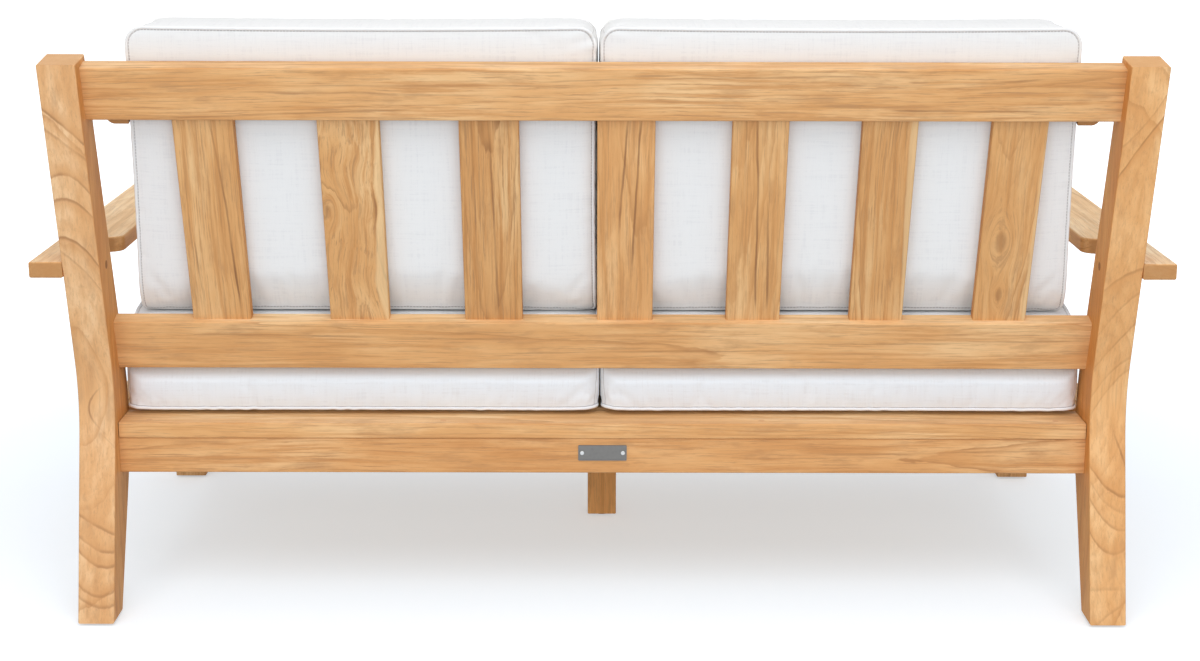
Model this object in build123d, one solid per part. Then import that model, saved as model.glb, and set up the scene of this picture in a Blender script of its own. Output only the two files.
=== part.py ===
from build123d import *
import math
import os

# Patio loveseat: a slatted hardwood frame with two seat cushions and two back cushions.
# Millimetres. X runs across the seat and the sitter's left is +X, the front faces -Y, +Z is up.
# Depths are counted forward from the rear edge of the rear feet, heights up from the
# underside of the wooden legs. The finished pieces are moved so that the origin lies in the
# middle of the footprint, on the ground under the glides.

# Frame widths
clear_width = 1396.0
post_width = 52.0
rail_thickness = 28.0
rail_height = 75.5
edge_ease = 2.5

# Leaning back: the plane through the rear faces of both rails
back_lean = 15.6
lower_rail_depth = 94.0
lower_rail_top = 421.0
slat_length = 312.0
slat_width = 80.0
slat_thickness = 18.0
slat_place_shares = (-0.812, -0.559, -0.307, -0.045, 0.223, 0.497, 0.779)
slat_width_shares = (0.945, 0.945, 0.96, 0.99, 1.025, 1.055, 1.04)

# Rear posts: bent boards that carry the back and stand on the rear feet
foot_depth = 54.0
post_front_proud = 7.5
post_rear_proud_top = 20.0
post_rear_proud_knee = 41.0
post_top_rise_front = 6.0
post_top_rise_rear = 12.5
knee_front_drop = 175.0
knee_rear_drop = 102.0
knee_front_radius = 255.0
knee_rear_radius = 230.0

# Front legs and armrests
front_leg_depth = 52.0
arm_top = 521.0
arm_thickness = 23.0
arm_inner_overhang = 42.0
arm_outer_overhang = 47.0
arm_rear_proud = 3.0
arm_shoulder_gap = 110.0
arm_front_overhang = 17.0
arm_front_radius = 24.0
arm_shoulder_radius = 22.0
arm_ease = 3.0

# Seat deck
deck_top = 274.0
deck_rear_depth = 86.5
deck_depth = 651.0
board_thickness = 23.0
board_gap = 13.0
board_count = 8
board_end_gap = 1.0
apron_height = 52.5
apron_setback = 2.5
bearer_height = 38.0
ledger_width = 28.0
ledger_end_gap = 4.0
centre_leg_width = 47.0
centre_leg_rear_depth = 484.0

# Tenons and their hollows
tenon_length = 30.0
stub_tenon_length = 12.0
tenon_thickness = 14.0
slat_tenon_thickness = 8.0
tenon_shoulder = 9.0
fit = 0.2

# Cushion stops on the front face of the top rail
stop_width = 30.0
stop_height = 50.0
stop_thickness = 18.0
stop_outer_inset = 20.0
stop_drop = 17.0
stop_radius = 12.0

# Fittings
bolt_radius = 3.0
bolt_head_radius = 5.5
bolt_head_height = 4.0
bolt_reach = 34.0
bolt_forward_share = 0.55
plug_radius = 6.0
plug_length = 7.0
screw_radius = 2.1
screw_head_radius = 4.2
screw_head_height = 3.0
screw_bite = 17.0
board_screw_shares = (-0.94, -0.33, 0.33, 0.94)
glide_radius = 16.0
glide_height = 3.5
glide_edge = 1.2
glide_pin_radius = 2.0
glide_pin_length = 14.0
plate_width = 70.0
plate_height = 23.0
plate_thickness = 1.6
plate_rim = 1.5
plate_recess = 0.4
plate_corner = 1.5
plate_rise = 19.5
plate_screw_inset = 5.5
plate_screw_radius = 1.4
plate_screw_head_radius = 3.0
plate_screw_head_height = 1.5
plate_screw_length = 12.0

# Cushions
soft_gap = 0.3
middle_gap = 8.0
cushion_edge = 12.0
cushion_corner_radius = 30.0
cushion_draw_in = 5.0
seat_cushion_thickness = 153.5
seat_cushion_crown = 12.0
seat_cushion_side_gap = 8.0
seat_cushion_rear_gap = 4.0
seat_cushion_front_overhang = 2.0
back_cushion_height = 420.0
back_cushion_thickness = 146.0
back_cushion_crown = 20.0
back_cushion_side_gap_bottom = 38.0
back_cushion_side_gap_top = 62.0
boxing_shares = ((0, 1.5), (0.03, 0.85), (0.08, 0.3), (0.2, 0), (0.8, 0), (0.92, 0.3), (0.98, 0.9))
crown_shares = ((0.05, 0.12), (0.12, 0.4), (0.25, 0.68), (0.42, 0.88), (0.6, 0.97), (0.8, 1))

# Places worked out from the sizes above
half_clear = clear_width / 2
mid_post = half_clear + post_width / 2
post_outer = half_clear + post_width
board_bottom = deck_top - board_thickness
apron_bottom = board_bottom - apron_height
bearer_bottom = board_bottom - bearer_height
deck_front_depth = deck_rear_depth + deck_depth
board_width = (deck_depth - (board_count - 1) * board_gap) / board_count
board_pitch = board_width + board_gap
front_leg_rear_depth = deck_front_depth - front_leg_depth
front_leg_middle = front_leg_rear_depth + front_leg_depth / 2
rear_foot_middle = foot_depth / 2
centre_leg_middle = centre_leg_rear_depth + centre_leg_width / 2
rear_apron_depths = (deck_rear_depth + apron_setback, deck_rear_depth + apron_setback + rail_thickness)
front_apron_depths = (deck_front_depth - apron_setback - rail_thickness, deck_front_depth - apron_setback)
side_apron_inner = mid_post - rail_thickness / 2
ledger_middle = side_apron_inner - ledger_width / 2
arm_bottom = arm_top - arm_thickness
arm_middle = arm_top - arm_thickness / 2
arm_front_depth = deck_front_depth + arm_front_overhang
top_rail_bottom = slat_length
top_rail_top = slat_length + rail_height
slat_setback = rail_thickness - slat_thickness
lean_sine = math.sin(math.radians(back_lean))
lean_cosine = math.cos(math.radians(back_lean))


# Spans, blocks and rods
def grown(span, margin):
    """A low and a high value, both moved outwards."""
    return span[0] - margin, span[1] + margin


def centred(place, size):
    """The span of a size laid evenly about a place."""
    return place - size / 2, place + size / 2


def box_between(first, second, third):
    """A square-edged box between two values on each axis."""
    spans = (first, second, third)
    place = Pos(*((low + high) / 2 for low, high in spans))
    return place * Box(*(high - low for low, high in spans))


def block(across, depths, heights):
    """A square-edged block between two widths, two depths and two heights."""
    return box_between(across, (-depths[1], -depths[0]), heights)


def back_point(up, out):
    """Depth and height of a point given along the leaning back: up it, and out of its rear face."""
    depth = lower_rail_depth - up * lean_sine + out * lean_cosine
    height = lower_rail_top + up * lean_cosine + out * lean_sine
    return depth, height


def up_at_height(height, out):
    """How far up the leaning back a height lies, at a distance out of its rear face."""
    return (height - lower_rail_top - out * lean_sine) / lean_cosine


def leaning_plane(depth, height):
    """A plane that leans like the back: X across the seat, Y up the lean, Z forward."""
    return Plane(origin=(0, -depth, height), x_dir=(1, 0, 0), z_dir=(0, -lean_cosine, lean_sine))


def leaned(piece):
    """A piece made flat, laid along the back from the rear top edge of the lower rail."""
    return leaning_plane(lower_rail_depth, lower_rail_top).location * piece


def leaning_block(across, up, out):
    """A square-edged block along the leaning back."""
    return leaned(box_between(across, up, out))


def eased(board, axis, ease=edge_ease):
    """A board with the edges that run along its grain rounded over."""
    return fillet(board.edges().filter_by(axis), ease)


def hollow(shape, spans):
    """The mortise for a tenon that is given by its three spans."""
    return shape(*(grown(span, fit) for span in spans))


def mirrored(piece):
    """The same piece on the other side of the seat."""
    return mirror(piece, about=Plane.YZ)


def rod(start, direction, radius, reach):
    """A round rod from a point along a direction."""
    return Plane(origin=start, z_dir=direction).location * extrude(Circle(radius), reach)


pieces = {}


def add(name, *solids):
    """Keep one piece, or a group of like pieces, under its name."""
    pieces[name] = solids


def add_pair(name, left_piece):
    """Keep a left-hand piece and its mirror image."""
    add(name + "_left", left_piece)
    add(name + "_right", mirrored(left_piece))


# The bent rear posts
def post_rear_out(up):
    """How far out of the back's rear face a post's rear edge lies, a fall that is steady upwards."""
    top_up = top_rail_top + post_top_rise_rear
    climb_share = (up + knee_rear_drop) / (top_up + knee_rear_drop)
    return -post_rear_proud_knee + climb_share * (post_rear_proud_knee - post_rear_proud_top)


def post_outline():
    """The bent side view of a rear post, as corners across and up a plane that faces sideways."""
    front_out = rail_thickness + post_front_proud
    top_front = back_point(top_rail_top + post_top_rise_front, front_out)
    top_rear = back_point(top_rail_top + post_top_rise_rear, -post_rear_proud_top)
    knee_front = back_point(-knee_front_drop, front_out)
    knee_rear = back_point(-knee_rear_drop, -post_rear_proud_knee)
    corners = ((0, 0), (foot_depth, 0), knee_front, top_front, top_rear, knee_rear)
    return [(-depth, height) for depth, height in corners]


def post_blank():
    """The left rear post, sharp-edged and with no joints cut."""
    radii = [0, 0, knee_front_radius, 0, 0, knee_rear_radius]
    outline = FilletPolyline(*post_outline(), radius=radii, close=True)
    side = Plane(origin=(half_clear, 0, 0), x_dir=(0, 1, 0), z_dir=(1, 0, 0))
    return extrude(side * make_face(outline), post_width)


post_front_at_knee = back_point(-knee_front_drop, rail_thickness + post_front_proud)[0]
arm_up = up_at_height(arm_middle, 0)
post_rear_at_arm = back_point(arm_up, post_rear_out(arm_up))[0]
post_front_at_arm = back_point(arm_up, rail_thickness + post_front_proud)[0]


# Tenons, each as three spans that its mortise follows
def rail_tenon(up_low, up_high):
    """The tenon on the left end of a back rail."""
    across = (half_clear, half_clear + tenon_length)
    return across, grown((up_low, up_high), -tenon_shoulder), centred(rail_thickness / 2, tenon_thickness)


def apron_tenon(depths):
    """The stub tenon on the left end of the rear or front apron."""
    across = (half_clear, half_clear + stub_tenon_length)
    mid_depth = (depths[0] + depths[1]) / 2
    heights = grown((apron_bottom, board_bottom), -tenon_shoulder)
    return across, centred(mid_depth, tenon_thickness), heights


def slat_tenon(number, up_low, up_high):
    """The stub tenon at one end of a back slat."""
    out_middle = slat_setback + slat_thickness / 2
    across = grown(slat_across(number), -tenon_shoulder)
    return across, (up_low, up_high), centred(out_middle, slat_tenon_thickness)


def leg_tenon(across, depth, shoulder_height):
    """The square stub tenon on top of a leg."""
    heights = (shoulder_height, shoulder_height + stub_tenon_length)
    return centred(across, tenon_thickness), centred(depth, tenon_thickness), heights


lower_rail_tenon = rail_tenon(-rail_height, 0)
top_rail_tenon = rail_tenon(top_rail_bottom, top_rail_top)
rear_apron_tenon = apron_tenon(rear_apron_depths)
front_apron_tenon = apron_tenon(front_apron_depths)
side_tenon_across = centred(mid_post, tenon_thickness)
side_tenon_heights = grown((apron_bottom, deck_top), -tenon_shoulder)
side_rear_tenon_depths = (post_front_at_knee - 2 * tenon_length, post_front_at_knee)
side_front_tenon_depths = (front_leg_rear_depth, front_leg_rear_depth + stub_tenon_length)
side_rear_tenon = (side_tenon_across, side_rear_tenon_depths, side_tenon_heights)
side_front_tenon = (side_tenon_across, side_front_tenon_depths, side_tenon_heights)
bearer_depths = (rear_apron_depths[1], front_apron_depths[0])
bearer_tenon = (
    centred(0, tenon_thickness),
    grown(bearer_depths, stub_tenon_length),
    grown((bearer_bottom, board_bottom), -tenon_shoulder),
)
arm_leg_tenon = leg_tenon(mid_post, front_leg_middle, arm_bottom)
centre_leg_tenon = leg_tenon(0, centre_leg_middle, bearer_bottom)


# Glides under the five legs
def glide(across, depth):
    """A round glide with its flat underside on the ground and its pin in the leg."""
    disc = Pos(across, -depth, -glide_height / 2) * Cylinder(glide_radius, glide_height)
    disc = fillet(disc.edges().group_by(Axis.Z)[0], glide_edge)
    return disc + rod((across, -depth, 0), (0, 0, 1), glide_pin_radius, glide_pin_length)


def glide_hole(across, depth):
    """The blind hole in a leg for a glide's pin."""
    return rod((across, -depth, 0), (0, 0, 1), glide_pin_radius + fit, glide_pin_length + fit)


# Bolts that hold the armrests' tongues to the rear posts
bolt_depth = post_rear_at_arm + bolt_forward_share * (post_front_at_arm - post_rear_at_arm)
bolt_start = (half_clear, -bolt_depth, arm_middle)
bolt_head_start = (half_clear + plug_length, -bolt_depth, arm_middle)
sideways = (1, 0, 0)


def bolt_bore():
    """The stepped hole through a rear post for a bolt, its head and its plug."""
    counterbore = rod(bolt_start, sideways, plug_radius + fit, plug_length + bolt_head_height)
    return counterbore + rod(bolt_start, sideways, bolt_radius + fit, post_width)


def arm_bolt():
    """The left armrest bolt, from under its plug into the tongue."""
    reach = post_width - plug_length + bolt_reach
    head = rod(bolt_head_start, sideways, bolt_head_radius, bolt_head_height)
    return head + rod(bolt_head_start, sideways, bolt_radius, reach)


def bolt_plug():
    """The left wooden plug over the bolt's head, flush with the post."""
    return rod(bolt_start, sideways, plug_radius, plug_length)


# Uprights
def rear_post():
    """The left rear post with its mortises and holes."""
    blank = post_blank()
    post = fillet(blank.faces().filter_by(Axis.X).edges(), edge_ease)
    post -= hollow(leaning_block, lower_rail_tenon)
    post -= hollow(leaning_block, top_rail_tenon)
    post -= hollow(block, rear_apron_tenon)
    post -= hollow(block, side_rear_tenon)
    post -= glide_hole(mid_post, rear_foot_middle)
    post -= bolt_bore()
    return post


def front_leg():
    """The left front leg, tenoned into the armrest."""
    depths = (front_leg_rear_depth, deck_front_depth)
    leg = eased(block((half_clear, post_outer), depths, (0, arm_bottom)), Axis.Z)
    leg += block(*arm_leg_tenon)
    leg -= hollow(block, front_apron_tenon)
    leg -= hollow(block, side_front_tenon)
    leg -= glide_hole(mid_post, front_leg_middle)
    return leg


def centre_leg():
    """The leg under the middle of the seat, tenoned into the centre bearer."""
    depths = centred(centre_leg_middle, centre_leg_width)
    leg = eased(block(centred(0, centre_leg_width), depths, (0, bearer_bottom)), Axis.Z)
    leg += block(*centre_leg_tenon)
    leg -= glide_hole(0, centre_leg_middle)
    return leg


def armrest():
    """The left armrest: broad in front, with a narrow tongue that passes outside the post."""
    inner = post_outer - arm_inner_overhang
    outer = post_outer + arm_outer_overhang
    rear_depth = post_rear_at_arm - arm_rear_proud
    shoulder_depth = post_front_at_arm + arm_shoulder_gap
    corners = (
        (outer, -rear_depth),
        (outer, -arm_front_depth),
        (inner, -arm_front_depth),
        (inner, -shoulder_depth),
        (post_outer, -shoulder_depth),
        (post_outer, -rear_depth),
    )
    radii = [arm_ease, arm_front_radius, arm_front_radius, arm_shoulder_radius, 0, 0]
    outline = FilletPolyline(*corners, radius=radii, close=True)
    arm = extrude(Pos(0, 0, arm_bottom) * make_face(outline), arm_thickness)
    arm = fillet(arm.faces().filter_by(Axis.Z).edges(), arm_ease)
    arm -= hollow(block, arm_leg_tenon)
    tongue_face = (post_outer, -bolt_depth, arm_middle)
    arm -= rod(tongue_face, sideways, bolt_radius + fit, bolt_reach + fit)
    return arm


# The leaning back
def slat_across(number):
    """The widths at which a back slat starts and ends."""
    return centred(slat_place_shares[number] * half_clear, slat_width * slat_width_shares[number])


def lower_slat_tenon(number):
    """The stub tenon on the foot of a back slat."""
    return slat_tenon(number, -stub_tenon_length, 0)


def upper_slat_tenon(number):
    """The stub tenon on the head of a back slat."""
    return slat_tenon(number, slat_length, slat_length + stub_tenon_length)


def back_slat(number):
    """A slat of the back, flush in front with the rails."""
    flat = box_between(slat_across(number), (0, slat_length), (slat_setback, rail_thickness))
    slat = leaned(eased(flat, Axis.Y))
    slat += leaning_block(*lower_slat_tenon(number))
    slat += leaning_block(*upper_slat_tenon(number))
    return slat


def back_rail(up_low, up_high, own_tenon, slat_tenon_of):
    """A rail of the back, tenoned into both posts and mortised for the slats."""
    flat = box_between((-half_clear, half_clear), (up_low, up_high), (0, rail_thickness))
    rail = leaned(eased(flat, Axis.X))
    left_tenon = leaning_block(*own_tenon)
    rail += left_tenon
    rail += mirrored(left_tenon)
    for number in range(len(slat_place_shares)):
        rail -= hollow(leaning_block, slat_tenon_of(number))
    return rail


def cushion_stop():
    """The left wooden stop beside the back cushion, with a rounded lower outer corner."""
    outer = half_clear - stop_outer_inset
    up_low = top_rail_bottom - stop_drop
    out = (rail_thickness, rail_thickness + stop_thickness)
    stop = box_between((outer - stop_width, outer), (up_low, up_low + stop_height), out)
    corner = stop.edges().filter_by(Axis.Z).sort_by(Axis.Y)[:2].sort_by(Axis.X)[-1]
    return leaned(fillet(corner, stop_radius))


# The seat
def apron(depths, own_tenon):
    """A rear or front apron between the legs, mortised for the centre bearer."""
    board = block((-half_clear, half_clear), depths, (apron_bottom, board_bottom))
    board = eased(board, Axis.X)
    left_tenon = block(*own_tenon)
    board += left_tenon
    board += mirrored(left_tenon)
    board -= hollow(block, bearer_tenon)
    return board


def side_apron():
    """The left side apron, its rear shoulder cut to the bend of the post."""
    across = (side_apron_inner, side_apron_inner + rail_thickness)
    depths = (side_rear_tenon_depths[0], front_leg_rear_depth)
    blank = eased(block(across, depths, (apron_bottom, deck_top)), Axis.Y)
    board = (blank - post_blank()).solids().sort_by(Axis.Y)[0]
    board += block(*side_rear_tenon)
    board += block(*side_front_tenon)
    return board


def centre_bearer():
    """The front-to-back bearer over the centre leg."""
    across = centred(0, centre_leg_width)
    bearer = eased(block(across, bearer_depths, (bearer_bottom, board_bottom)), Axis.Y)
    bearer += block(*bearer_tenon)
    bearer -= hollow(block, centre_leg_tenon)
    return bearer


def ledger():
    """The left ledger, fixed to the inner face of the side apron to carry the boards' ends."""
    across = (side_apron_inner - ledger_width, side_apron_inner)
    depths = grown((post_front_at_knee, front_leg_rear_depth), -ledger_end_gap)
    return eased(block(across, depths, (bearer_bottom, board_bottom)), Axis.Y)


def board_depths(number):
    """The depths at which a seat board starts and ends."""
    start = deck_rear_depth + number * board_pitch
    return start, start + board_width


def is_edge_board(number):
    """Whether a seat board is the rearmost or the foremost."""
    return number in (0, board_count - 1)


def seat_board(number):
    """A seat board: the outer two fit between the legs, the rest between the side aprons."""
    half_span = half_clear if is_edge_board(number) else side_apron_inner
    across = grown((-half_span, half_span), -board_end_gap)
    return eased(block(across, board_depths(number), (board_bottom, deck_top)), Axis.X)


# Screws that hold the seat boards down
def board_screw_places(number):
    """Width and depth of each screw in a seat board."""
    if number == 0:
        depths = rear_apron_depths
    elif number == board_count - 1:
        depths = front_apron_depths
    else:
        depths = board_depths(number)
    mid_depth = (depths[0] + depths[1]) / 2
    if is_edge_board(number):
        return [(share * half_clear, mid_depth) for share in board_screw_shares]
    return [(across, mid_depth) for across in (-ledger_middle, 0, ledger_middle)]


def screw(across, depth, growth):
    """A countersunk screw driven down from the top of a seat board, or the hole for it."""
    downwards = (0, 0, -1)
    top = (across, -depth, deck_top)
    shank = rod(top, downwards, screw_radius + growth, board_thickness + screw_bite + growth)
    cone_place = Pos(across, -depth, deck_top - screw_head_height / 2)
    return shank + cone_place * Cone(screw_radius + growth, screw_head_radius + growth, screw_head_height)


def screwed(piece, numbers):
    """A piece with the holes for the screws of the named boards."""
    for number in numbers:
        for across, depth in board_screw_places(number):
            piece -= screw(across, depth, fit)
    return piece


# The bare plate on the rear apron
plate_front_depth = rear_apron_depths[0]
plate_middle = apron_bottom + plate_rise + plate_height / 2
plate_screw_places = (-plate_width / 2 + plate_screw_inset, plate_width / 2 - plate_screw_inset)
backwards = (0, 1, 0)
forwards = (0, -1, 0)


def plate():
    """A bare metal plate with a raised rim, on the rear face of the rear apron."""
    face = Plane(origin=(0, -plate_front_depth, plate_middle), x_dir=(1, 0, 0), z_dir=backwards)
    outline = RectangleRounded(plate_width, plate_height, plate_corner)
    inner_width = plate_width - 2 * plate_rim
    inner_height = plate_height - 2 * plate_rim
    panel = extrude(outline, plate_thickness)
    panel -= Pos(0, 0, plate_thickness - plate_recess) * extrude(
        RectangleRounded(inner_width, inner_height, plate_corner), plate_recess
    )
    for across in plate_screw_places:
        panel -= Pos(across, 0, 0) * extrude(Circle(plate_screw_radius + fit), plate_thickness)
    return face.location * panel


def plate_screw_start(across):
    """Where a plate screw's head meets the plate."""
    return across, -plate_front_depth + plate_thickness - plate_recess, plate_middle


def plate_screw(across):
    """A round-headed screw through the plate into the apron."""
    start = plate_screw_start(across)
    head = rod(start, backwards, plate_screw_head_radius, plate_screw_head_height)
    head = fillet(head.edges().group_by(Axis.Y)[-1], plate_screw_head_height / 2)
    return head + rod(start, forwards, plate_screw_radius, plate_screw_length)


def plate_screw_hole(across):
    """The hole in the apron for a plate screw."""
    return rod(plate_screw_start(across), forwards, plate_screw_radius + fit, plate_screw_length + fit)


# Cushions
def cushion_ring(corners, inset, plane):
    """A closed outline: four sides that draw in along their length and four rounded corners."""
    mid_x = sum(x for x, y in corners) / len(corners)
    mid_y = sum(y for x, y in corners) / len(corners)
    points = [
        Vector(x - math.copysign(inset, x - mid_x), y - math.copysign(inset, y - mid_y))
        for x, y in corners
    ]
    curves = []
    for index, corner in enumerate(points):
        after = points[(index + 1) % len(points)]
        along = (after - corner).normalized()
        inward = Vector(-along.Y, along.X)
        back_along = (points[index - 1] - corner).normalized()
        start = corner + back_along * cushion_corner_radius
        end = corner + along * cushion_corner_radius
        bend_share = 1 - math.sqrt(0.5)
        bend = corner + (along + back_along) * cushion_corner_radius * bend_share
        side_end = after - along * cushion_corner_radius
        side_middle = (end + side_end) / 2 + inward * cushion_draw_in
        curves.append(ThreePointArc(start, bend, end))
        curves.append(ThreePointArc(end, side_middle, side_end))
    return plane.location * make_face(Wire(curves))


def cushion(corners, thickness, crown, plane_at):
    """A boxed cushion: flat where it rests, sides that swell between seams, and a crowned face."""
    widths = [x for x, y in corners]
    heights = [y for x, y in corners]
    half_short = min(max(widths) - min(widths), max(heights) - min(heights)) / 2
    rings = [(through * thickness, edge * cushion_edge) for through, edge in boxing_shares]
    rings += [(thickness + rise * crown, reach * half_short) for reach, rise in crown_shares]
    faces = [cushion_ring(corners, inset, plane_at(through)) for through, inset in rings]
    return loft(faces, ruled=True)


def seat_cushion():
    """The left seat cushion, resting on the seat boards."""
    inner = middle_gap / 2
    outer = half_clear - seat_cushion_side_gap
    rail_corner_depth = back_point(-rail_height, rail_thickness)[0]
    rear_depth = rail_corner_depth + seat_cushion_rear_gap
    front_depth = deck_front_depth + seat_cushion_front_overhang
    corners = ((inner, -front_depth), (outer, -front_depth), (outer, -rear_depth), (inner, -rear_depth))

    def plane_at(through):
        return Plane(origin=(0, 0, deck_top + soft_gap + through))

    return cushion(corners, seat_cushion_thickness, seat_cushion_crown, plane_at)


def back_cushion():
    """The left back cushion, resting against the slats and standing over the seat cushion."""
    inner = middle_gap / 2
    outer_bottom = half_clear - back_cushion_side_gap_bottom
    outer_top = half_clear - back_cushion_side_gap_top
    top = back_cushion_height
    corners = ((inner, 0), (outer_bottom, 0), (outer_top, top), (inner, top))
    seat_top = deck_top + soft_gap + seat_cushion_thickness + seat_cushion_crown
    bottom = seat_top + soft_gap
    out = rail_thickness + soft_gap
    rear_depth = back_point(up_at_height(bottom, out), out)[0]

    def plane_at(through):
        return leaning_plane(rear_depth + through, bottom)

    return cushion(corners, back_cushion_thickness, back_cushion_crown, plane_at)


# Everything under its own name
def build_frame():
    """The wooden pieces."""
    add_pair("rear_post", rear_post())
    add_pair("front_leg", front_leg())
    add("centre_leg", centre_leg())
    add_pair("armrest", armrest())
    add("top_back_rail", back_rail(top_rail_bottom, top_rail_top, top_rail_tenon, upper_slat_tenon))
    add("lower_back_rail", back_rail(-rail_height, 0, lower_rail_tenon, lower_slat_tenon))
    for number in range(len(slat_place_shares)):
        add(f"back_slat_{number + 1}", back_slat(number))
    add_pair("cushion_stop", cushion_stop())
    rear_apron = apron(rear_apron_depths, rear_apron_tenon)
    for across in plate_screw_places:
        rear_apron -= plate_screw_hole(across)
    add("rear_apron", screwed(rear_apron, [0]))
    add("front_apron", screwed(apron(front_apron_depths, front_apron_tenon), [board_count - 1]))
    add_pair("side_apron", side_apron())
    inner_boards = range(1, board_count - 1)
    add("centre_bearer", screwed(centre_bearer(), inner_boards))
    add_pair("seat_ledger", screwed(ledger(), inner_boards))
    add("rear_seat_board", screwed(seat_board(0), [0]))
    for number in inner_boards:
        add(f"seat_board_{number}", screwed(seat_board(number), [number]))
    add("front_seat_board", screwed(seat_board(board_count - 1), [board_count - 1]))


def build_fittings():
    """Screws, bolts, plugs, glides and the plate."""
    bolt = arm_bolt()
    add("armrest_bolts", bolt, mirrored(bolt))
    plug = bolt_plug()
    add("bolt_plugs", plug, mirrored(plug))
    screws = []
    for number in range(board_count):
        screws += [screw(across, depth, 0) for across, depth in board_screw_places(number)]
    add("seat_board_screws", *screws)
    rear_glide = glide(mid_post, rear_foot_middle)
    front_glide = glide(mid_post, front_leg_middle)
    add_pair("rear_glide", rear_glide)
    add_pair("front_glide", front_glide)
    add("centre_glide", glide(0, centre_leg_middle))
    add("blank_plate", plate())
    add("plate_screws", *(plate_screw(across) for across in plate_screw_places))


def build_cushions():
    """The four loose cushions."""
    add_pair("seat_cushion", seat_cushion())
    add_pair("back_cushion", back_cushion())


def write_parts():
    """Centre the footprint on the origin, stand it on the ground and write one file a piece."""
    every_solid = [solid for group in pieces.values() for shape in group for solid in shape.solids()]
    bounds = Compound(every_solid).bounding_box()
    middle = bounds.center()
    shift = Pos(-middle.X, -middle.Y, -bounds.min.Z)
    os.makedirs("parts", exist_ok=True)
    for name, group in pieces.items():
        moved = [shift * solid for shape in group for solid in shape.solids()]
        export_step(moved[0] if len(moved) == 1 else Compound(moved), f"parts/{name}.step")


build_frame()
build_fittings()
build_cushions()
write_parts()
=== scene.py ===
import math

import bpy
import numpy as np
from mathutils import Matrix, Vector


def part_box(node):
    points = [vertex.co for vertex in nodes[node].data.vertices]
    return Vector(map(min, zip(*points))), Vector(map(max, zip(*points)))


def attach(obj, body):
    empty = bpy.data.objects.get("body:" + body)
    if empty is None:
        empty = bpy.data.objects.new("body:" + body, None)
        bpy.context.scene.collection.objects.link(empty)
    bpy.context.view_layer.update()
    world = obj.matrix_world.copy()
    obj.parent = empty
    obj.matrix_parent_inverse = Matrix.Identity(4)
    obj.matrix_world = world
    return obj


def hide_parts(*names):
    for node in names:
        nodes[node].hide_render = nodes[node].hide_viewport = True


# The patio loveseat's finishes, its four sewn cushions, and the studio that shows them.
# Metres. X runs across the seat with the sitter's left at +X, the front faces -Y, Z is up.
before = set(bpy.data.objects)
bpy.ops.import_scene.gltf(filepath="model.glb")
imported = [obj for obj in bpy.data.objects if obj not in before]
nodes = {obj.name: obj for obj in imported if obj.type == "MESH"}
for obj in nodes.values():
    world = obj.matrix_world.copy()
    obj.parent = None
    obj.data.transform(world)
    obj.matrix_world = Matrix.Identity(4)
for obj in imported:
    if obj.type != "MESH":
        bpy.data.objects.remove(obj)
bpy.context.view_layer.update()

# Directions of the boards
SIDEWAYS = Vector((1, 0, 0))
REARWARD = Vector((0, 1, 0))
UPWARD = Vector((0, 0, 1))
back_lean = math.radians(15.6)
UP_THE_BACK = Vector((0, math.sin(back_lean), math.cos(back_lean)))
BEHIND_THE_BACK = Vector((0, math.cos(back_lean), -math.sin(back_lean)))


# Shader maths
class Wire:
    """One value, vector or colour of a finish. Arithmetic on it adds Math nodes."""

    def __init__(self, finish, socket):
        self.finish = finish
        self.socket = socket

    def math(self, operation, *values):
        return self.finish.node("Math", {"operation": operation}, dict(enumerate(values)))

    def __add__(self, other):
        return self.math("ADD", self, other)

    def __radd__(self, other):
        return self.math("ADD", other, self)

    def __sub__(self, other):
        return self.math("SUBTRACT", self, other)

    def __rsub__(self, other):
        return self.math("SUBTRACT", other, self)

    def __mul__(self, other):
        return self.math("MULTIPLY", self, other)

    def __rmul__(self, other):
        return self.math("MULTIPLY", other, self)

    def __truediv__(self, other):
        return self.math("DIVIDE", self, other)

    def __pow__(self, other):
        return self.math("POWER", self, other)


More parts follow.
